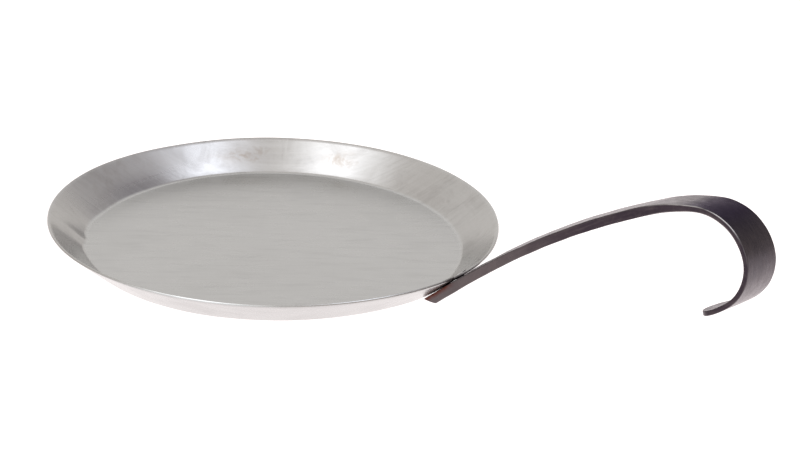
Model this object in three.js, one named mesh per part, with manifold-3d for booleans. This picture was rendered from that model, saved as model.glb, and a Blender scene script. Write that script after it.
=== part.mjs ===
// Shallow steel pan with a forged, hooked strap handle.
//
// Four separate pieces: the raised sheet-steel dish, the flat-bar handle and the two rivets that
// hold one to the other.  Nothing on the pan moves.
// Millimetres, +Z up.  The origin is the centre of the underside of the base; the handle leaves
// the dish along +X and the pan stands on z = 0.
import * as THREE from 'three';
import { mergeVertices } from 'three/addons/utils/BufferGeometryUtils.js';
import Module from 'manifold-3d';

const wasm = await Module();
wasm.setup();

// ---- driving dimensions -------------------------------------------------------------------
const RIM_RADIUS = 150; // outermost edge of the dish
const SHEET = 1.6; // thickness of the dish's steel sheet
const FLOOR_RADIUS = 125.9; // inside, where the flat floor meets the sloping wall
const WALL_SLOPE = radians(41); // wall above the horizontal
const BEND_RADIUS = 5; // inside radius of the crease between floor and wall
const BULGE = 3.5; // the dish is drawn out this much towards the handle
const BULGE_START = 90; // the flat floor keeps its round shape inside this radius
const BULGE_POWER = 12; // how narrow the drawn-out stretch is

const BAR_WIDTH = 33.8; // handle strap, forged from flat bar
const BAR_THICKNESS = 5.9; // from the dish to the top of the rise
const HOOK_THICKNESS = 3; // where it has been drawn down for the hook
const TAPER_START = 166; // lengths along the strap between which it thins
const TAPER_END = 230;
const TIP_LENGTH = 11; // the strap's end is rounded over this length
const STAND_OFF = 0.5; // between the dish's outside and the strap's middle
const TAIL_CLEARANCE = 0.3; // the strap's tail is cut level, just clear of the table

// Side view of the strap's upper face: each step is a length and the turn made over it (degrees,
// minus is clockwise seen from -Y).  Straight on the wall, a long rise, the arch, then the hook.
const STRAP_PATH = [
  [26.9, 0],
  [145.1, -14.6],
  [37.2, -19.3],
  [41.5, -67.2],
  [35.2, -74.6],
  [23, -27.3],
];

// The forged strap is not quite true: beyond the rim it swings sideways and leans a little.
const SET_START = 145.5;
const SET_END = 297.5;
const SET_HEIGHT = 13.6;
const SWING = radians(-5.5);
const LEAN = radians(-6.2);

const RIVET_SPREAD = 8; // each rivet's distance from the strap's middle
const RIVET_UP = 16; // up the wall from the crease
const SHANK_RADIUS = 3;
const HEAD_RADIUS = 5.5;
const HEAD_HEIGHT = 1.2;
const SINK_RADIUS = 4.6; // the far end is hammered flush into a countersink under the strap
const SINK_DEPTH = 1.7;
const CROWN = 0.15; // the little that the hammered end stands proud
const SETTLE = 0.2; // the wall curves away from the flat strap this much at a rivet
const GAP = 0.3; // clearance between touching pieces

// ---- small helpers ------------------------------------------------------------------------
function radians(degrees) {
  return (degrees * Math.PI) / 180;
}

function clamp01(t) {
  return Math.min(1, Math.max(0, t));
}

function smoothstep(t) {
  const k = clamp01(t);
  return k * k * (3 - 2 * k);
}

function toSolid(geometry) {
  const bare = new THREE.BufferGeometry();
  bare.setAttribute('position', geometry.getAttribute('position').clone());
  if (geometry.index) {
    bare.setIndex(geometry.index.clone());
  }
  const joined = mergeVertices(bare, 1e-4);
  const mesh = new wasm.Mesh({
    numProp: 3,
    vertProperties: new Float32Array(joined.getAttribute('position').array),
    triVerts: new Uint32Array(joined.index.array),
  });
  return new wasm.Manifold(mesh);
}

function fromSolid(solid) {
  const mesh = solid.getMesh();
  const geometry = new THREE.BufferGeometry();
  geometry.setAttribute('position', new THREE.BufferAttribute(new Float32Array(mesh.vertProperties), 3));
  geometry.setIndex(new THREE.BufferAttribute(new Uint32Array(mesh.triVerts), 1));
  geometry.computeVertexNormals();
  return geometry;
}

function moveVertices(geometry, move) {
  const position = geometry.getAttribute('position');
  const point = new THREE.Vector3();
  for (let i = 0; i < position.count; i += 1) {
    point.fromBufferAttribute(position, i);
    move(point);
    position.setXYZ(i, point.x, point.y, point.z);
  }
  geometry.computeVertexNormals();
  return geometry;
}

// A lathe is made about its own Y axis; this stands it up along +Z.
function latheAlongZ(profile, segments) {
  const geometry = new THREE.LatheGeometry(profile, segments);
  geometry.rotateX(Math.PI / 2);
  return geometry;
}

// ---- dish ---------------------------------------------------------------------------------
// Point of the wall's middle cross-section: `up` along the wall from the crease, `out` from the
// inner face through the sheet (and beyond it for the strap outside).
function wallPoint(up, out) {
  const x = FLOOR_RADIUS + up * Math.cos(WALL_SLOPE) + out * Math.sin(WALL_SLOPE);
  const z = SHEET + up * Math.sin(WALL_SLOPE) - out * Math.cos(WALL_SLOPE);
  return new THREE.Vector2(x, z);
}

function wallLength() {
  return (RIM_RADIUS - SHEET * Math.sin(WALL_SLOPE) - FLOOR_RADIUS) / Math.cos(WALL_SLOPE);
}

// The crease: an arc tangent to the floor and the wall, for the inner or the outer face.
function creaseArc(radius) {
  const steps = 4;
  const tangent = BEND_RADIUS * Math.tan(WALL_SLOPE / 2);
  const centre = new THREE.Vector2(FLOOR_RADIUS - tangent, SHEET + BEND_RADIUS);
  const points = [];
  for (let i = 0; i <= steps; i += 1) {
    const a = (WALL_SLOPE * i) / steps;
    points.push(new THREE.Vector2(centre.x + radius * Math.sin(a), centre.y - radius * Math.cos(a)));
  }
  return points;
}

function bulgeAt(x, y) {
  const r = Math.hypot(x, y);
  if (x <= 0 || r <= BULGE_START) {
    return 0;
  }
  const grow = smoothstep((r - BULGE_START) / (FLOOR_RADIUS - BULGE_START));
  return BULGE * (x / r) ** BULGE_POWER * grow;
}

function drawOut(point) {
  const r = Math.hypot(point.x, point.y);
  const scale = r > 0 ? (r + bulgeAt(point.x, point.y)) / r : 1;
  point.x *= scale;
  point.y *= scale;
}

function dish() {
  const floorRings = [BULGE_START, BULGE_START + 9, BULGE_START + 18, BULGE_START + 26];
  const under = floorRings.map((r) => new THREE.Vector2(r, 0));
  const above = floorRings.map((r) => new THREE.Vector2(r, SHEET)).reverse();
  const profile = [
    new THREE.Vector2(0, 0),
    ...under,
    ...creaseArc(BEND_RADIUS + SHEET),
    wallPoint(wallLength() / 2, SHEET),
    wallPoint(wallLength(), SHEET),
    wallPoint(wallLength(), 0),
    wallPoint(wallLength() / 2, 0),
    ...creaseArc(BEND_RADIUS).reverse(),
    ...above,
    new THREE.Vector2(0, SHEET),
  ];
  const raised = moveVertices(latheAlongZ(profile, 96), drawOut);
  let solid = toSolid(raised);
  for (const side of [-1, 1]) {
    solid = solid.subtract(toSolid(rivetHole(side)));
  }
  return fromSolid(solid);
}

// ---- handle -------------------------------------------------------------------------------
// Stations along the strap's upper face, in the side view: place, heading and length so far.
function strapStations() {
  const start = wallPoint(0, SHEET + STAND_OFF);
  let x = start.x + BULGE;
  let z = start.y;
  let heading = WALL_SLOPE;
  let travelled = 0;
  const stations = [{ x, z, heading, travelled }];
  for (const [length, turnDegrees] of STRAP_PATH) {
    const turn = radians(turnDegrees);
    const steps = Math.max(2, Math.ceil(length / 9), Math.ceil(Math.abs(turnDegrees) / 6));
    for (let i = 0; i < steps; i += 1) {
      const middle = heading + turn / (2 * steps);
      x += (Math.cos(middle) * length) / steps;
      z += (Math.sin(middle) * length) / steps;
      heading += turn / steps;
      travelled += length / steps;
      stations.push({ x, z, heading, travelled });
    }
  }
  return stations;
}

function strapThickness(travelled) {
  const t = smoothstep((travelled - TAPER_START) / (TAPER_END - TAPER_START));
  return BAR_THICKNESS + (HOOK_THICKNESS - BAR_THICKNESS) * t;
}

// What is left outside a half ellipse, taken off to round the strap's end.
function tipTrimmer(end) {
  const half = BAR_WIDTH / 2;
  const spare = 3;
  const corner = new THREE.Shape();
  corner.moveTo(0, half);
  corner.absellipse(-TIP_LENGTH, 0, TIP_LENGTH, half, Math.PI / 2, -Math.PI / 2, true, 0);
  corner.lineTo(-TIP_LENGTH, -half - spare);
  corner.lineTo(spare, -half - spare);
  corner.lineTo(spare, half + spare);
  corner.lineTo(-TIP_LENGTH, half + spare);
  const trimmer = new THREE.Shape(corner.getPoints(10).slice(1));
  const depth = 5 * HOOK_THICKNESS;
  const geometry = new THREE.ExtrudeGeometry(trimmer, { depth, bevelEnabled: false });
  geometry.translate(0, 0, -depth / 2);
  const along = new THREE.Vector3(Math.cos(end.heading), 0, Math.sin(end.heading));
  const across = new THREE.Vector3(0, 1, 0);
  const through = new THREE.Vector3().crossVectors(along, across);
  const frame = new THREE.Matrix4().makeBasis(along, across, through);
  frame.setPosition(end.x, 0, end.z);
  geometry.applyMatrix4(frame);
  return geometry;
}

// Everything under the level cut across the strap's tail.
function tailTrimmer() {
  const depth = 20;
  const geometry = new THREE.BoxGeometry(2 * BAR_WIDTH, 2 * BAR_WIDTH, depth);
  geometry.translate(FLOOR_RADIUS, 0, TAIL_CLEARANCE - depth / 2);
  return geometry;
}

// The sideways set of the hand-forged strap.
function setStrap(point) {
  const k = smoothstep((point.x - SET_START) / (SET_END - SET_START));
  const lean = LEAN * k;
  const swing = SWING * k;
  const rise = point.z - SET_HEIGHT;
  const side = point.y * Math.cos(lean) - rise * Math.sin(lean);
  const height = SET_HEIGHT + point.y * Math.sin(lean) + rise * Math.cos(lean);
  const reach = point.x - SET_START;
  point.x = SET_START + reach * Math.cos(swing) - side * Math.sin(swing);
  point.y = reach * Math.sin(swing) + side * Math.cos(swing);
  point.z = height;
}

function handle() {
  const stations = strapStations();
  const upper = stations.map((s) => new THREE.Vector2(s.x, s.z));
  const lower = stations.map((s) => {
    const thickness = strapThickness(s.travelled);
    return new THREE.Vector2(s.x + thickness * Math.sin(s.heading), s.z - thickness * Math.cos(s.heading));
  });
  const outline = new THREE.Shape([...lower, ...upper.reverse()]);
  const strap = new THREE.ExtrudeGeometry(outline, { depth: BAR_WIDTH, bevelEnabled: false });
  strap.rotateX(Math.PI / 2);
  strap.translate(0, BAR_WIDTH / 2, 0);
  let solid = toSolid(strap).subtract(toSolid(tipTrimmer(stations[stations.length - 1])));
  solid = solid.subtract(toSolid(tailTrimmer()));
  for (const side of [-1, 1]) {
    solid = solid.subtract(toSolid(rivetHole(side)));
  }
  return moveVertices(fromSolid(solid), setStrap);
}

// ---- rivets -------------------------------------------------------------------------------
// Frame of a rivet: its +Z is square to the wall, pointing into the dish; zero is the inner face.
function rivetFrame(side) {
  const seat = wallPoint(RIVET_UP, 0);
  const turn = Math.atan2(side * RIVET_SPREAD, seat.x + BULGE);
  const radius = seat.x + BULGE * Math.cos(turn) ** BULGE_POWER;
  const frame = new THREE.Matrix4().makeRotationZ(turn);
  frame.multiply(new THREE.Matrix4().makeTranslation(radius, 0, seat.y));
  frame.multiply(new THREE.Matrix4().makeRotationY(-WALL_SLOPE));
  return frame;
}

// From the dish's inner face down to the strap's lower face, along a rivet.
function rivetReach() {
  return SHEET + STAND_OFF + BAR_THICKNESS + SETTLE;
}

// Straight through both pieces, opening into a countersink in the strap's lower face.
function rivetHole(side) {
  const past = 15;
  const radius = SHANK_RADIUS + GAP;
  const mouth = SINK_RADIUS + GAP;
  const flare = (mouth - radius) / SINK_DEPTH;
  const profile = [
    new THREE.Vector2(0, -rivetReach() - 2),
    new THREE.Vector2(mouth + 2 * flare, -rivetReach() - 2),
    new THREE.Vector2(radius, -rivetReach() + SINK_DEPTH),
    new THREE.Vector2(radius, past),
    new THREE.Vector2(0, past),
  ];
  const hole = latheAlongZ(profile, 24);
  hole.applyMatrix4(rivetFrame(side));
  return hole;
}

// Low domed head inside the dish, shank, and the end hammered flush under the strap.
function rivet(side) {
  const steps = 5;
  const bottom = -rivetReach();
  const profile = [new THREE.Vector2(0, bottom - CROWN)];
  for (let i = 1; i <= steps; i += 1) {
    const a = (Math.PI / 2) * (i / steps);
    profile.push(new THREE.Vector2(SINK_RADIUS * Math.sin(a), bottom - CROWN * Math.cos(a)));
  }
  profile.push(new THREE.Vector2(SHANK_RADIUS, bottom + SINK_DEPTH));
  profile.push(new THREE.Vector2(SHANK_RADIUS, GAP));
  for (let i = 0; i < steps; i += 1) {
    const a = (Math.PI / 2) * (i / steps);
    profile.push(new THREE.Vector2(HEAD_RADIUS * Math.cos(a), GAP + HEAD_HEIGHT * Math.sin(a)));
  }
  profile.push(new THREE.Vector2(0, GAP + HEAD_HEIGHT));
  const geometry = latheAlongZ(profile, 24);
  geometry.applyMatrix4(rivetFrame(side));
  return fromSolid(toSolid(geometry));
}

// ---- assembly -----------------------------------------------------------------------------
const satinSteel = new THREE.MeshStandardMaterial({ color: 0xb5b3ae, roughness: 0.38, metalness: 0.9 });
const forgeBlack = new THREE.MeshStandardMaterial({ color: 0x3f3739, roughness: 0.55, metalness: 0.6 });
const rivetSteel = new THREE.MeshStandardMaterial({ color: 0x77736f, roughness: 0.45, metalness: 0.85 });

const pan = new THREE.Group();
pan.name = 'hook_handled_pan';

function addPiece(name, geometry, material) {
  const mesh = new THREE.Mesh(geometry, material);
  mesh.name = name;
  pan.add(mesh);
}

addPiece('dish', dish(), satinSteel);
addPiece('handle', handle(), forgeBlack);
addPiece('rivet_1', rivet(-1), rivetSteel);
addPiece('rivet_2', rivet(1), rivetSteel);

export default pan;
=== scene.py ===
"""Looks for the hook-handled steel pan: a raised sheet-steel dish, a forged strap and two rivets."""

import math

import bpy
import numpy as np
from mathutils import Matrix, Vector, noise


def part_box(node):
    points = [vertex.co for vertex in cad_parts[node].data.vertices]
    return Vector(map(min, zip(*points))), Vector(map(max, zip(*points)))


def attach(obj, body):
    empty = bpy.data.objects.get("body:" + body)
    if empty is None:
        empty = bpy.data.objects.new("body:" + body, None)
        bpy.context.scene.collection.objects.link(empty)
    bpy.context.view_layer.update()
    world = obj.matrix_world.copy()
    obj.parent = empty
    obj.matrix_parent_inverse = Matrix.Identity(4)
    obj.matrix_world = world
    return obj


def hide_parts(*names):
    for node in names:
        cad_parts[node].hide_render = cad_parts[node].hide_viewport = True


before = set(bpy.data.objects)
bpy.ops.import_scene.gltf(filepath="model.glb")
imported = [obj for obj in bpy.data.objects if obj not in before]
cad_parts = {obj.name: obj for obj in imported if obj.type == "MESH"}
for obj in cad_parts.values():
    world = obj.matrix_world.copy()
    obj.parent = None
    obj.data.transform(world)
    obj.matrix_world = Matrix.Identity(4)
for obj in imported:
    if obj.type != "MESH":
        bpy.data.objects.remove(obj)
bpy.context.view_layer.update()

# ---- the pan's driving sizes, metres, the same as the CAD's ------------------------------------
SHEET = 0.0016
RIM_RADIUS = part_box("dish")[1].y
FLOOR_RADIUS = 0.1259
RIM_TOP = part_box("dish")[1].z
WALL_SLOPE = math.radians(41)
BEND_RADIUS = 0.005
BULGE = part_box("dish")[1].x - RIM_RADIUS
BULGE_START = 0.090
BULGE_POWER = 12

BAR_WIDTH = 0.0338
BAR_THICKNESS = 0.0059
HOOK_THICKNESS = 0.003
TAPER_START, TAPER_END = 0.166, 0.230
TIP_LENGTH = 0.011
STAND_OFF = 0.0005
CORNER = 0.00055  # how far the strap's edges are broken
DRAWN_UP, DRAWN_TO = 0.00045, 0.040  # the strap's edges are drawn up towards the wall, this far along
DRAWN_FADE = 0.012  # and this is how gently it ends
TAIL_CLEARANCE = 0.0003
# Side view of the strap's upper face: each step is a length and the turn made over it, in degrees.
STRAP_PATH = [
    (0.0269, 0),
    (0.1451, -14.6),
    (0.0372, -19.3),
    (0.0415, -67.2),
    (0.0352, -74.6),
    (0.023, -27.3),
]
SET_START, SET_END, SET_HEIGHT = 0.1455, 0.2975, 0.0136
SWING, LEAN = math.radians(-5.5), math.radians(-6.2)

RIVET_SPREAD, RIVET_UP = 0.008, 0.016
SHANK_RADIUS, HEAD_RADIUS, HEAD_HEIGHT = 0.003, 0.0055, 0.0012
SINK_RADIUS, SINK_DEPTH, CROWN, SETTLE = 0.0046, 0.0017, 0.00015, 0.0002

# The camera looks along this heading: the handle comes forward and to the right.
VIEW_TURN = math.radians(37.5)
VIEW_ELEVATION = math.radians(22.756)
VIEW_DISTANCE = 7.5 * RIM_RADIUS
VIEW_PAN, VIEW_TILT, VIEW_ROLL = math.radians(-4.316), math.radians(0.374), math.radians(-0.870)
SENSOR, LENS = 36.0, 74.727


# ---- small helpers -----------------------------------------------------------------------------
def smoothstep(t):
    k = np.clip(t, 0.0, 1.0)
    return k * k * (3 - 2 * k)


def bump_at(angle, centre, width):
    """1 at the centre of an angular window, falling smoothly to 0 past its width (radians)."""
    away = (angle - centre + math.pi) % (2 * math.pi) - math.pi
    return math.exp(-((away / width) ** 2))


def wobble(x, y=0.0, z=0.0, scale=1.0):
    """Smooth, repeatable unevenness between about -1 and 1."""
    return noise.noise(Vector((x, y, z)) * scale)


def new_mesh(name, points, faces, attributes=None, smooth=True):
    mesh = bpy.data.meshes.new(name)
    mesh.from_pydata([tuple(p) for p in points], [], faces)
    mesh.update()
    for key, values in (attributes or {}).items():
        layer = mesh.attributes.new(key, "FLOAT", "POINT")
        layer.data.foreach_set("value", np.asarray(values, np.float32))
    if smooth:
        mesh.polygons.foreach_set("use_smooth", [True] * len(mesh.polygons))
    obj = bpy.data.objects.new(name, mesh)
    bpy.context.scene.collection.objects.link(obj)
    return obj


def ring_faces(rings, around, first=0):
    """Quads between consecutive rings of `around` points each."""
    faces = []
    for i in range(rings - 1):
        for k in range(around):
            n = (k + 1) % around
            a, b = first + i * around, first + (i + 1) * around
            faces.append((a + k, b + k, b + n, a + n))
    return faces


# ---- dish --------------------------------------------------------------------------------------
AROUND = 480  # points round the rim
BEND_STEPS = 8
RIM_EDGE = 0.0004  # the rim's edge is eased this much
FLOOR_STEPS = [0.004, 0.02, 0.036, 0.052, 0.066, 0.078, 0.088, 0.096, 0.103, 0.109, 0.114, 0.118]
WALL_STEPS = [0.10, 0.22, 0.36, 0.50, 0.64, 0.78, 0.90]
FLOOR_WAVE, WALL_DENT = 0.00016, 0.00014  # how uneven the hand-raised sheet is
OUTSIDE_MARKS = 0.3  # the outside is rubbed more evenly than the inside
# how far the painted shadow on the rim beside the strap reaches
GAP_SHADOW_REACH = 0.0065
INSIDE_WARMTH, OUTSIDE_WARMTH = 0.5, 0.1  # and is a little darker and cooler


def dish_section(floor_radius, rim_radius, rim_rise):
    """The sheet's section, from the underside's middle round the rim to the floor's middle.

    Returns (radius, height, part) rows; part is 0 on the floor, 1 on the wall.
    """
    slope = math.atan2(rim_rise, rim_radius - floor_radius)
    c, s = math.cos(slope), math.sin(slope)
    length = math.hypot(rim_rise, rim_radius - floor_radius)
    tangent = BEND_RADIUS * math.tan(slope / 2)
    centre = (floor_radius - tangent, SHEET + BEND_RADIUS)
    rows = [(r, 0.0, 0.0) for r in FLOOR_STEPS]
    for i in range(BEND_STEPS + 1):
        a = slope * i / BEND_STEPS
        radius = BEND_RADIUS + SHEET
        rows.append((centre[0] + radius * math.sin(a), centre[1] - radius * math.cos(a), i / BEND_STEPS))

    def wall(up, out):
        return floor_radius + up * c + out * s, SHEET + up * s - out * c

    for t in WALL_STEPS:
        rows.append((*wall(tangent + (length - tangent) * t, SHEET), 1.0))
    edge = RIM_EDGE
    rim_edge = (
        (length - edge, SHEET),
        (length - edge * 0.3, SHEET - edge * 0.3),
        (length, SHEET - edge),
        (length, edge),
        (length - edge * 0.3, edge * 0.3),
        (length - edge, 0.0),
    )
    for up, out in rim_edge:
        rows.append((*wall(up, out), 1.0))
    for t in reversed(WALL_STEPS):
        rows.append((*wall(tangent + (length - tangent) * t, 0.0), 1.0))
    for i in range(BEND_STEPS, -1, -1):
        a = slope * i / BEND_STEPS
        inner = (centre[0] + BEND_RADIUS * math.sin(a), centre[1] - BEND_RADIUS * math.cos(a))
        rows.append((*inner, i / BEND_STEPS))
    rows += [(r, SHEET, 0.0) for r in reversed(FLOOR_STEPS)]
    return rows


def matte_at(seen, z):
    """A cloudy, matte stretch high on the wall on one side."""
    return bump_at(seen, math.radians(142), math.radians(24)) * float(smoothstep((z / RIM_TOP - 0.15) / 0.5))


def stain_at(seen, z):
    """How heat-stained the wall is: faintly over the matte stretch, and two streaks at mid height."""
    streaks = sum(bump_at(seen, math.radians(at), math.radians(width)) for at, width in ((99, 7), (69, 5)))
    middle = math.exp(-(((z / RIM_TOP - 0.55) / 0.16) ** 2))
    return min(1.0, 0.18 * matte_at(seen, z) + streaks * middle)


def gap_shadow_at(x, y):
    """A painted shadow on the rim beside the strap's near edge, where the gap between rim and strap is in
    shade.
    """
    away = math.hypot(x - RIM_RADIUS, y + BAR_WIDTH / 2)
    return math.exp(-((away / GAP_SHADOW_REACH) ** 2))


def dish_points():
    """The raised dish by hand: the crease wanders, the rim is a little uneven, the floor waves."""
    points, on_wall, stain, matte, warm, painted_gap_shadow = [], [], [], [], [], []
    rim_radius = RIM_RADIUS - SHEET * math.sin(WALL_SLOPE)
    rim_rise = RIM_TOP - SHEET
    for k in range(AROUND):
        angle = 2 * math.pi * k / AROUND
        x, y = math.cos(angle), math.sin(angle)
        seen = angle - VIEW_TURN
        crease = 0.0007 * wobble(x, y, 3.1, 1.7) + 0.0004 * wobble(x, y, 8.2, 5.0)
        crease += 0.0014 * bump_at(seen, math.radians(170), math.radians(8))
        crease -= 0.0013 * bump_at(seen, math.radians(184), math.radians(3))
        crease += 0.0010 * bump_at(seen, math.radians(192), math.radians(5))
        lip = 0.0003 * wobble(x, y, 5.5, 1.3) - 0.0009 * bump_at(seen, math.radians(122), math.radians(14))
        rise = 0.0003 * wobble(x, y, 9.4, 1.6)
        section = dish_section(FLOOR_RADIUS + crease, rim_radius + lip, rim_rise + rise)
        inner_row = len(section) // 2
        for n, (r, z, part) in enumerate(section):
            grow = float(smoothstep((r - BULGE_START) / (FLOOR_RADIUS - BULGE_START)))
            out = r + (BULGE * x ** BULGE_POWER * grow if x > 0 else 0.0)
            px, py = out * x, out * y
            wave = FLOOR_WAVE * wobble(px, py, 0.3, 14.0) * float(smoothstep((0.125 - r) / 0.03))
            dent = WALL_DENT * wobble(px, py, 1.7, 26.0) * part
            lift = max(0.0, wave) if z < SHEET * 0.5 and part == 0.0 else wave
            points.append((px, py, z + lift + dent))
            on_wall.append(part if n >= inner_row else OUTSIDE_MARKS * part)
            stain.append(stain_at(seen, z))
            matte.append(part * matte_at(seen, z))
            warm.append(OUTSIDE_WARMTH if part > 0.0 and n < inner_row else INSIDE_WARMTH)
            # painted shadow on the rim beside the strap
            painted_gap_shadow.append(part * gap_shadow_at(px, py))
    rows = len(section)
    return points, rows, on_wall, stain, matte, warm, painted_gap_shadow


def make_dish():
    points, rows, on_wall, stain, matte, warm, painted_gap_shadow = dish_points()
    faces = []
    for k in range(AROUND):
        n = (k + 1) % AROUND
        for i in range(rows - 1):
            a, b = k * rows + i, n * rows + i
            faces.append((a, b, b + 1, a + 1))
    under, over = len(points), len(points) + 1
    points += [(0, 0, 0), (0, 0, SHEET)]
    on_wall += [0.0, 0.0]
    stain += [0.0, 0.0]
    matte += [0.0, 0.0]
    warm += [INSIDE_WARMTH, INSIDE_WARMTH]
    painted_gap_shadow += [0.0, 0.0]
    for k in range(AROUND):
        n = (k + 1) % AROUND
        faces.append((under, n * rows, k * rows))
        faces.append((over, k * rows + rows - 1, n * rows + rows - 1))
    return new_mesh("pan_dish", points, faces,
                    {"on_wall": on_wall, "stain": stain, "matte": matte, "warm": warm, "painted_gap_shadow": painted_gap_shadow})


# ---- handle ------------------------------------------------------------------------------------
STATION_STEP, RING_STEP = 0.0005, 0.0014
TAIL_PART = 0.76  # the level cut is evened out over this much of the strap's straight part
TIP_STEPS, TIP_LAST = 16, 0.985
NARROWEST = 0.0008
HAMMERED, HAMMERED_FINE, EDGE_UNEVEN = 0.00013, 0.00005, 0.0002
NEAR_SIDE = 0.0002  # points this close to the strap's edge belong to its narrow side


def strap_stations(step):
    """Place, heading and length so far along the strap's upper face, in the side view."""
    c, s = math.cos(WALL_SLOPE), math.sin(WALL_SLOPE)
    x = FLOOR_RADIUS + (SHEET + STAND_OFF) * s + BULGE
    z = SHEET - (SHEET + STAND_OFF) * c
    heading, travelled = WALL_SLOPE, 0.0
    rows = [(x, z, heading, travelled)]
    for length, turn_degrees in STRAP_PATH:
        turn = math.radians(turn_degrees)
        count = math.ceil(length / step)
        for _ in range(count):
            middle = heading + turn / (2 * count)
            x += math.cos(middle) * length / count
            z += math.sin(middle) * length / count
            heading += turn / count
            travelled += length / count
            rows.append((x, z, heading, travelled))
    return np.array(rows)


def strap_at(stations, travelled):
    """One station, read between the worked-out ones."""
    x, z, heading = (np.interp(travelled, stations[:, 3], stations[:, i]) for i in range(3))
    return x, z, heading


def set_strap(x, y, z):
    """The forged strap's sideways swing and lean beyond the rim."""
    k = float(smoothstep((x - SET_START) / (SET_END - SET_START)))
    lean, swing = LEAN * k, SWING * k
    rise = z - SET_HEIGHT
    side = y * math.cos(lean) - rise * math.sin(lean)
    height = SET_HEIGHT + y * math.sin(lean) + rise * math.cos(lean)
    reach = x - SET_START
    return (SET_START + reach * math.cos(swing) - side * math.sin(swing),
            reach * math.sin(swing) + side * math.cos(swing), height)


def strap_section(half, thick, chamfer):
    """Section of the strap: (across, down, edge) going round; edge is 1 on the broken corners."""
    c = min(chamfer, half * 0.45, thick * 0.3)
    corner = [(half - c, 0.0, 0.0), (half - c * 0.45, c * 0.12, 1.0), (half - c * 0.12, c * 0.45, 1.0),
              (half, c, 0.2)]
    guard = c * 1.5
    flat = [t * (half - guard) for t in (-1.0, -0.66, -0.33, 0.0, 0.33, 0.66, 1.0)]
    side = (guard, thick / 2, thick - guard)
    rows = [(a, 0.0, 0.0) for a in flat]
    rows += corner
    rows += [(half, d, 0.0) for d in side]
    rows += [(a, thick - d, e) for a, d, e in reversed(corner)]
    rows += [(a, thick, 0.0) for a in reversed(flat)]
    rows += [(-a, thick - d, e) for a, d, e in corner]
    rows += [(-half, d, 0.0) for d in reversed(side)]
    rows += [(-a, d, e) for a, d, e in reversed(corner)]
    return rows


def tail_start(stations, down):
    """How far along the strap its level-cut tail begins, `down` below the upper face."""
    z, heading = stations[0, 1], stations[0, 2]
    return (TAIL_CLEARANCE - z + down * math.cos(heading)) / math.sin(heading)


def strap_thickness(travelled):
    t = float(smoothstep((travelled - TAPER_START) / (TAPER_END - TAPER_START)))
    return BAR_THICKNESS + (HOOK_THICKNESS - BAR_THICKNESS) * t


def strap_lengths(total):
    """Where the rings go: (length along, how much the section is drawn in at the cut end)."""
    tail = [(0.0, 0.0006), (0.0003, 0.0002), (0.0009, 0.0)] + [(0.0012 * i, 0.0) for i in range(2, 17)]
    tip_from = total - TIP_LENGTH
    shaft = [(t, 0.0) for t in np.arange(0.0208, tip_from - 0.0008, RING_STEP)]
    rounding = np.linspace(0, TIP_LAST, TIP_STEPS)
    tip = [(tip_from + TIP_LENGTH * math.sin(math.pi / 2 * t), 0.0) for t in rounding]
    return tail + shaft + tip


def rubbed_at(travelled):
    """How bare the edges are: brightest round the arch, where a hand and a hanging rail rub."""
    rise = float(smoothstep((travelled - 0.165) / 0.040))
    fall = float(smoothstep((0.262 - travelled) / 0.030))
    return 0.10 + 0.90 * rise * fall


def bare_at(travelled):
    """Where the upper face has been rubbed down to streaks of bare steel, before the arch."""
    rise = float(smoothstep((travelled - 0.070) / 0.060))
    return rise * float(smoothstep((0.212 - travelled) / 0.030))


def mark_strap(marks, t, side, depth, edge, over, narrow):
    """Write down how one point of the strap is worn, where it is darker over the arch's first bend, where
    the painted reflection of the floor lies on the hook's end, and where along it lies.
    """
    marks["edge"].append(edge)
    marks["rubbed"].append(rubbed_at(t))
    marks["pale"].append(float(narrow) * (1 - float(smoothstep((t - 0.050) / 0.085))))
    broad = float(over and not narrow)
    marks["bare"].append(broad * bare_at(t))
    marks["rust"].append(float(over) * float(smoothstep((0.030 - t) / 0.010)))
    # a darker band on the upper face over the arch's first bend
    dark_band = float(smoothstep((t - 0.196) / 0.016)) * float(smoothstep((0.246 - t) / 0.022))
    marks["dark_band"].append(broad * dark_band)
    # painted reflection of the floor on the hook's downturned end: a lighter base colour there
    marks["bright"].append(broad * float(smoothstep((t - 0.250) / 0.045)))
    marks["along"].append(t)
    marks["across"].append(side)
    marks["down"].append(depth)


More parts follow.
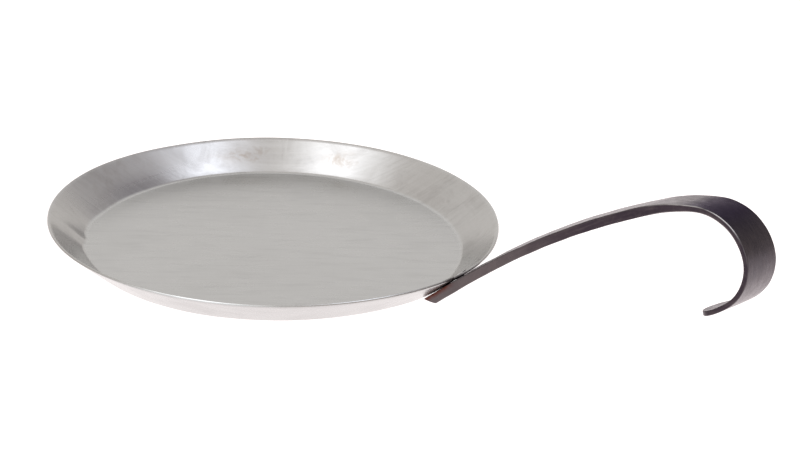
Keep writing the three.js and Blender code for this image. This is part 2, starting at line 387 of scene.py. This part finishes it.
def make_handle():
    """Flat bar, level-cut at the tail, swept along its path with a hammered, uneven skin."""
    stations = strap_stations(STATION_STEP)
    total = stations[-1, 3]
    straight = STRAP_PATH[0][0] * TAIL_PART
    points = []
    marks = {key: [] for key in ("edge", "rubbed", "pale", "bare", "rust", "dark_band", "bright",
                                 "along", "across", "down")}
    rings = strap_lengths(total)
    for length, inset in rings:
        thick, half = strap_thickness(length), BAR_WIDTH / 2
        past = (length - (total - TIP_LENGTH)) / TIP_LENGTH
        if past > 0:
            half *= math.sqrt(1 - past * past)
            thick *= 1 - 0.1 * past ** 3
        half = max(half - inset, NARROWEST)
        section = strap_section(half, thick - 2 * inset, CORNER)
        for across, down, edge in section:
            depth = down + inset
            t = length
            if length < straight:
                start = tail_start(stations, depth)
                t = start + (length / straight) * (straight - start)
            x, z, heading = strap_at(stations, t)
            over = down < (thick - 2 * inset) / 2
            if over:
                fade = float(smoothstep((DRAWN_TO - t) / DRAWN_FADE))
                depth -= DRAWN_UP * (across / half) ** 2 * fade
            skin = 0.0 if over else 4.0
            side = across + math.copysign(EDGE_UNEVEN, across) * wobble(t, 2.0, math.copysign(3, across), 55)
            hammer = HAMMERED * wobble(t, side, skin, 95)
            hammer += HAMMERED_FINE * wobble(t, side, skin + 1, 260)
            depth += hammer if over else -hammer
            px = x + depth * math.sin(heading)
            pz = max(z - depth * math.cos(heading), TAIL_CLEARANCE)
            points.append(set_strap(px, side, pz))
            mark_strap(marks, t, side, depth, edge, over, abs(across) > half - NEAR_SIDE)
    count = len(section)
    faces = [tuple(reversed(f)) for f in ring_faces(len(rings), count)]
    faces.append(tuple(range(count)))
    last = (len(rings) - 1) * count
    faces.append(tuple(reversed(range(last, last + count))))
    return new_mesh("forged_strap", points, faces, marks)


# ---- rivets ------------------------------------------------------------------------------------
def rivet_frame(side):
    """+Z square to the wall into the dish; zero on the wall's inner face."""
    c, s = math.cos(WALL_SLOPE), math.sin(WALL_SLOPE)
    seat_x, seat_z = FLOOR_RADIUS + RIVET_UP * c, SHEET + RIVET_UP * s
    turn = math.atan2(side * RIVET_SPREAD, seat_x + BULGE)
    radius = seat_x + BULGE * math.cos(turn) ** BULGE_POWER
    return (Matrix.Rotation(turn, 4, "Z") @ Matrix.Translation((radius, 0, seat_z))
            @ Matrix.Rotation(-WALL_SLOPE, 4, "Y"))


def make_rivet(number, side):
    """Low hand-set head, shank, and the far end hammered flush into the strap's countersink."""
    around, steps = 40, 8
    bottom = -(SHEET + STAND_OFF + BAR_THICKNESS + SETTLE)
    profile = []
    for i in range(1, steps + 1):
        a = math.pi / 2 * i / steps
        profile.append((SINK_RADIUS * math.sin(a), bottom - CROWN * math.cos(a)))
    profile += [(SHANK_RADIUS, bottom + SINK_DEPTH), (SHANK_RADIUS, 0.0002), (HEAD_RADIUS * 0.97, 0.0001)]
    for i in range(steps):
        a = math.pi / 2 * i / steps
        profile.append((HEAD_RADIUS * math.cos(a), 0.0003 + HEAD_HEIGHT * math.sin(a)))
    place = rivet_frame(side)
    points = []
    for r, z in profile:
        for k in range(around):
            a = 2 * math.pi * k / around
            uneven = 1 + 0.05 * wobble(math.cos(a), math.sin(a), number * 3 + (z > 0), 1.6)
            flat = 0.00012 * wobble(r * math.cos(a), r * math.sin(a), number * 5 + (z > 0), 500)
            radius = r * (uneven if r > SHANK_RADIUS * 1.05 else 1)
            points.append(place @ Vector((radius * math.cos(a), radius * math.sin(a), z + flat)))
    faces = ring_faces(len(profile), around)
    faces = [tuple(reversed(f)) for f in faces]
    low, high = len(points), len(points) + 1
    points.append(place @ Vector((0, 0, bottom - CROWN)))
    points.append(place @ Vector((0, 0, 0.0003 + HEAD_HEIGHT)))
    top = (len(profile) - 1) * around
    for k in range(around):
        n = (k + 1) % around
        faces.append((low, n, k))
        faces.append((high, top + k, top + n))
    return new_mesh(f"set_rivet_{number}", points, faces)


# ---- materials ---------------------------------------------------------------------------------
class Nodes:
    """A thin wrapper that keeps the material functions short."""

    def __init__(self, name):
        self.material = bpy.data.materials.new(name)
        self.material.use_nodes = True
        self.tree = self.material.node_tree
        self.shader = self.tree.nodes["Principled BSDF"]

    def add(self, kind, **values):
        node = self.tree.nodes.new(kind)
        for key, value in values.items():
            setattr(node, key, value)
        return node

    def link(self, source, target):
        self.tree.links.new(source, target)

    def attribute(self, name):
        return self.add("ShaderNodeAttribute", attribute_name=name).outputs["Fac"]

    def mapped(self, scale, rotation=(0, 0, 0)):
        where = self.add("ShaderNodeTexCoord")
        mapping = self.add("ShaderNodeMapping", vector_type="TEXTURE")
        mapping.inputs["Scale"].default_value = tuple(1 / v for v in scale)
        mapping.inputs["Rotation"].default_value = rotation
        self.link(where.outputs["Object"], mapping.inputs["Vector"])
        return mapping.outputs["Vector"]

    def drawn_out(self, scale):
        """Coordinates that follow the strap: along it, across it and down through it."""
        join = self.add("ShaderNodeCombineXYZ")
        for key, name, times in zip("XYZ", ("along", "across", "down"), scale):
            self.link(self.math("MULTIPLY", self.attribute(name), times), join.inputs[key])
        return join.outputs["Vector"]

    def noise(self, vector, scale, detail=3.0, roughness=0.5, distortion=0.0):
        node = self.add("ShaderNodeTexNoise")
        node.inputs["Scale"].default_value = scale
        node.inputs["Detail"].default_value = detail
        node.inputs["Roughness"].default_value = roughness
        node.inputs["Distortion"].default_value = distortion
        self.link(vector, node.inputs["Vector"])
        return node.outputs["Fac"]

    def span(self, value, low, high, to_low, to_high):
        node = self.add("ShaderNodeMapRange", clamp=True)
        for key, number in (("From Min", low), ("From Max", high), ("To Min", to_low), ("To Max", to_high)):
            node.inputs[key].default_value = number
        self.link(value, node.inputs["Value"])
        return node.outputs["Result"]

    def math(self, operation, a, b):
        node = self.add("ShaderNodeMath", operation=operation)
        for socket, value in zip(node.inputs, (a, b)):
            if isinstance(value, (int, float)):
                socket.default_value = value
            else:
                self.link(value, socket)
        return node.outputs["Value"]

    def mix(self, factor, a, b):
        node = self.add("ShaderNodeMix", data_type="RGBA")
        if isinstance(factor, (int, float)):
            node.inputs["Factor"].default_value = factor
        else:
            self.link(factor, node.inputs["Factor"])
        for key, value in (("A", a), ("B", b)):
            socket = [i for i in node.inputs if i.name == key and i.type == "RGBA"][0]
            if isinstance(value, tuple):
                socket.default_value = (*value, 1)
            else:
                self.link(value, socket)
        return [o for o in node.outputs if o.type == "RGBA"][0]

    def bump(self, height, strength, distance, normal=None):
        node = self.add("ShaderNodeBump")
        node.inputs["Strength"].default_value = strength
        node.inputs["Distance"].default_value = distance
        self.link(height, node.inputs["Height"])
        if normal is not None:
            self.link(normal, node.inputs["Normal"])
        return node.outputs["Normal"]


def satin_steel():
    """Sheet steel rubbed to a satin: long strokes on the floor, rings on the wall, heat stains, and a
    painted shadow on the rim beside the strap.
    """
    n = Nodes("satin_steel")
    n.shader.inputs["Metallic"].default_value = 1.0
    plain = n.mapped((1, 1, 1))
    on_wall = n.attribute("on_wall")
    stain = n.attribute("stain")
    strokes = n.noise(n.mapped((5, 210, 5), (0, 0, VIEW_TURN)), 3.0, 3.0, 0.65)
    scuffs = n.noise(n.mapped((9, 60, 9), (0, 0, VIEW_TURN)), 3.0, 4.0, 0.6, 0.3)
    rounds = n.noise(n.mapped((5, 5, 330)), 3.0, 3.0, 0.6)
    cloud = n.noise(plain, 8.0, 3.0, 0.5, 0.3)
    smudge = n.noise(plain, 42.0, 4.0, 0.6, 0.8)
    spots = n.noise(plain, 95.0, 5.0, 0.7, 1.0)
    brush = n.math("ADD", strokes, n.math("MULTIPLY", n.math("MULTIPLY", rounds, on_wall), 0.5))
    steel = n.mix(n.attribute("warm"), (0.436, 0.438, 0.444), (0.580, 0.568, 0.540))
    steel = n.mix(n.span(cloud, 0.35, 0.7, 0, 0.18), steel, (0.40, 0.39, 0.375))
    steel = n.mix(n.span(brush, 0.38, 0.95, 0.0, 0.42), steel, (0.60, 0.595, 0.59))
    steel = n.mix(n.span(scuffs, 0.50, 0.72, 0.0, 0.26), steel, (0.35, 0.345, 0.34))
    smudged = n.math("MULTIPLY", n.span(smudge, 0.50, 0.70, 0, 0.28), on_wall)
    steel = n.mix(smudged, steel, (0.30, 0.285, 0.27))
    tint = n.math("MULTIPLY", stain, n.span(spots, 0.44, 0.62, 0.12, 0.75))
    steel = n.mix(tint, steel, (0.30, 0.245, 0.195))
    # painted shadow on the rim beside the strap, broken up by the spots
    gap_shaded = n.math("MULTIPLY", n.attribute("painted_gap_shadow"), n.span(spots, 0.36, 0.48, 0.0, 1.0))
    n.link(n.mix(gap_shaded, steel, (0.045, 0.032, 0.030)), n.shader.inputs["Base Color"])
    rough = n.math("ADD", n.span(brush, 0.4, 1.0, 0.27, 0.33), n.span(smudge, 0.45, 0.7, 0.0, 0.05))
    rough = n.math("SUBTRACT", rough, n.math("MULTIPLY", on_wall, 0.10))
    rough = n.math("ADD", rough, n.math("MULTIPLY", n.attribute("matte"), 0.20))
    n.link(rough, n.shader.inputs["Roughness"])
    fine = n.bump(brush, 0.10, 0.00010)
    broad = n.bump(n.math("MULTIPLY", smudge, on_wall), 0.12, 0.0008, fine)
    n.link(broad, n.shader.inputs["Normal"])
    return n.material


def forge_black():
    """Dark scale on forged bar: streaks drawn out along it, pits, and bare metal where it is rubbed; a
    darker band over the arch's first bend, and a painted reflection of the floor on the hook's end.
    """
    n = Nodes("forge_black")
    n.shader.inputs["Metallic"].default_value = 1.0
    plain = n.mapped((1, 1, 1))
    cloud = n.noise(plain, 34.0, 4.0, 0.6, 0.6)
    scale = n.noise(plain, 230.0, 5.0, 0.65, 0.3)
    pits = n.noise(plain, 620.0, 3.0, 0.6)
    drawn = n.noise(n.drawn_out((18, 240, 240)), 3.0, 4.0, 0.65, 0.2)
    hair = n.noise(n.drawn_out((30, 900, 700)), 3.0, 2.0, 0.5)
    base = n.mix(n.attribute("pale"), (0.044, 0.034, 0.042), (0.106, 0.090, 0.092))
    base = n.mix(n.span(cloud, 0.40, 0.66, 0, 0.5), base, (0.024, 0.019, 0.028))
    base = n.mix(n.span(scale, 0.50, 0.72, 0, 0.30), base, (0.105, 0.085, 0.085))
    base = n.mix(n.span(drawn, 0.50, 0.75, 0, 0.40), base, (0.120, 0.100, 0.104))
    # painted reflection of the floor on the hook's end, streaked along the strap
    base = n.mix(n.math("MULTIPLY", n.attribute("bright"), n.span(drawn, 0.30, 0.65, 0.6, 1.0)), base,
                 (0.235, 0.218, 0.222))
    # the darker band over the arch's first bend
    base = n.mix(n.math("MULTIPLY", n.attribute("dark_band"), n.span(cloud, 0.30, 0.60, 0.65, 1.0)), base,
                 (0.010, 0.007, 0.017))
    broad = n.noise(n.drawn_out((7, 70, 90)), 3.0, 5.0, 0.7, 0.4)
    streaks = n.math("MULTIPLY", n.attribute("bare"), n.span(broad, 0.40, 0.66, 0.0, 0.75))
    base = n.mix(streaks, base, (0.250, 0.228, 0.225))
    base = n.mix(n.math("MULTIPLY", n.attribute("rust"), n.span(scale, 0.35, 0.6, 0.55, 1.0)), base,
                 (0.085, 0.022, 0.014))
    rubbed = n.math("MULTIPLY", n.attribute("edge"), n.attribute("rubbed"))
    worn = n.math("MULTIPLY", rubbed, n.span(drawn, 0.36, 0.58, 0.10, 0.95))
    n.link(n.mix(worn, base, (0.46, 0.44, 0.44)), n.shader.inputs["Base Color"])
    # the same band's gloss is dulled and tinted
    dull = n.mix(n.attribute("dark_band"), (1.0, 0.98, 1.0), (0.68, 0.64, 0.72))
    n.link(dull, n.shader.inputs["Specular Tint"])
    rough = n.math("ADD", n.span(scale, 0.35, 0.7, 0.26, 0.40), n.span(hair, 0.4, 0.7, 0.0, 0.08))
    n.link(rough, n.shader.inputs["Roughness"])
    first = n.bump(scale, 0.18, 0.0006)
    second = n.bump(hair, 0.16, 0.0003, first)
    third = n.bump(pits, 0.12, 0.0002, second)
    n.link(third, n.shader.inputs["Normal"])
    return n.material


def rivet_steel():
    n = Nodes("rivet_steel")
    n.shader.inputs["Metallic"].default_value = 0.95
    plain = n.mapped((1, 1, 1))
    dints = n.noise(plain, 420.0, 3.0, 0.55)
    stain = n.noise(plain, 160.0, 4.0, 0.6, 0.6)
    base = n.mix(n.span(stain, 0.38, 0.66, 0, 1), (0.30, 0.285, 0.275), (0.43, 0.42, 0.41))
    n.link(base, n.shader.inputs["Base Color"])
    n.link(n.span(dints, 0.3, 0.7, 0.30, 0.46), n.shader.inputs["Roughness"])
    n.link(n.bump(dints, 0.25, 0.0005), n.shader.inputs["Normal"])
    return n.material


def floor_white():
    """A lit white sweep, so bright that it shows no shadow."""
    n = Nodes("floor_white")
    n.shader.inputs["Base Color"].default_value = (0.05, 0.05, 0.05, 1)
    n.shader.inputs["Specular IOR Level"].default_value = 0.0
    n.shader.inputs["Emission Color"].default_value = (1.0, 0.945, 0.938, 1)
    n.shader.inputs["Emission Strength"].default_value = 1.36
    return n.material


# ---- stage, light and camera -------------------------------------------------------------------
def make_floor():
    half, level = 9.0, -0.0002
    corners = [(-half, -half, level), (half, -half, level), (half, half, level), (-half, half, level)]
    obj = new_mesh("studio_floor", corners, [(0, 1, 2, 3)])
    obj.data.materials.append(floor_white())


# The studio round the pan, as the camera sees it: heading in degrees (0 to the right, 90 away),
# elevation, how tight the light is, and its colour and strength.
AMBIENT = (0.61, 0.55, 0.50)
STUDIO_LIGHTS = [
    (214, 60, 27.0, (2.35, 2.44, 2.60)),  # soft box, high on the left
    (336, 62, 38.0, (2.10, 2.25, 2.56)),  # soft box, high on the right
    (234, 18, 5.5, (1.06, 1.18, 1.24)),  # broad window behind the camera, to the left
    (93, 41, 2.9, (0.38, 0.43, 0.47)),  # pale wall beyond the pan
    (26, 42, 8.5, (-0.42, -0.40, -0.34)),  # black flag beyond the hook
]


def toward(heading, elevation):
    """A direction given as the camera sees it, in the pan's axes."""
    h, e = math.radians(heading) + VIEW_TURN, math.radians(elevation)
    return (math.cos(h) * math.cos(e), math.sin(h) * math.cos(e), math.sin(e))


def make_world():
    """A soft surround: dim everywhere, with each studio light as a smooth bright patch."""
    world = bpy.data.worlds.new("studio")
    bpy.context.scene.world = world
    world.use_nodes = True
    tree = world.node_tree
    background = tree.nodes["Background"]
    where = tree.nodes.new("ShaderNodeTexCoord").outputs["Generated"]
    total = None
    for heading, elevation, tightness, colour in STUDIO_LIGHTS:
        facing = tree.nodes.new("ShaderNodeVectorMath")
        facing.operation = "DOT_PRODUCT"
        facing.inputs[1].default_value = toward(heading, elevation)
        tree.links.new(where, facing.inputs[0])
        fall = tree.nodes.new("ShaderNodeMath")
        fall.operation = "MULTIPLY_ADD"
        fall.inputs[1].default_value = tightness
        fall.inputs[2].default_value = -tightness
        tree.links.new(facing.outputs["Value"], fall.inputs[0])
        glow = tree.nodes.new("ShaderNodeMath")
        glow.operation = "EXPONENT"
        tree.links.new(fall.outputs[0], glow.inputs[0])
        add = tree.nodes.new("ShaderNodeVectorMath")
        add.operation = "MULTIPLY_ADD"
        add.inputs[1].default_value = colour
        add.inputs[2].default_value = AMBIENT
        tree.links.new(glow.outputs[0], add.inputs[0])
        if total is not None:
            tree.links.new(total, add.inputs[2])
        total = add.outputs["Vector"]
    tree.links.new(total, background.inputs["Color"])


def make_camera():
    """22.8 degrees up and 1.12 m from the dish's middle, aimed past it and slightly rolled."""
    place = Vector((0, -math.cos(VIEW_ELEVATION), math.sin(VIEW_ELEVATION))) * VIEW_DISTANCE
    forward = -place.normalized()
    right = Vector((1, 0, 0))
    up = right.cross(forward)
    turns = (
        ("up", VIEW_PAN, ("forward", "right")),
        ("right", VIEW_TILT, ("forward", "up")),
        ("forward", VIEW_ROLL, ("right", "up")),
    )
    for axis, angle, moved in turns:
        axes = {"forward": forward, "right": right, "up": up}
        turn = Matrix.Rotation(angle, 3, axes[axis])
        for name in moved:
            axes[name] = turn @ axes[name]
        forward, right, up = axes["forward"], axes["right"], axes["up"]
    basis = Matrix((right, up, -forward)).transposed().to_4x4()
    camera = bpy.data.cameras.new("camera")
    camera.sensor_width = SENSOR
    camera.lens = LENS
    camera.clip_start, camera.clip_end = 0.01, 60
    obj = bpy.data.objects.new("camera", camera)
    bpy.context.scene.collection.objects.link(obj)
    lift = Matrix.Translation((0, 0, SHEET))
    obj.matrix_world = Matrix.Rotation(VIEW_TURN, 4, "Z") @ lift @ Matrix.Translation(place) @ basis
    bpy.context.scene.camera = obj


# ---- assembly ----------------------------------------------------------------------------------
def place(obj, material, slot, *nodes):
    obj.data.materials.append(material)
    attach(obj, "root")
    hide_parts(*nodes)


place(make_dish(), satin_steel(), "satin_steel", "dish")
place(make_handle(), forge_black(), "forge_black", "handle")
rivet_look = rivet_steel()
for number, side in ((1, -1), (2, 1)):
    place(make_rivet(number, side), rivet_look, "rivet_steel", f"rivet_{number}")

make_floor()
make_world()
make_camera()
bpy.context.scene.view_settings.view_transform = "Standard"

bpy.context.view_layer.update()
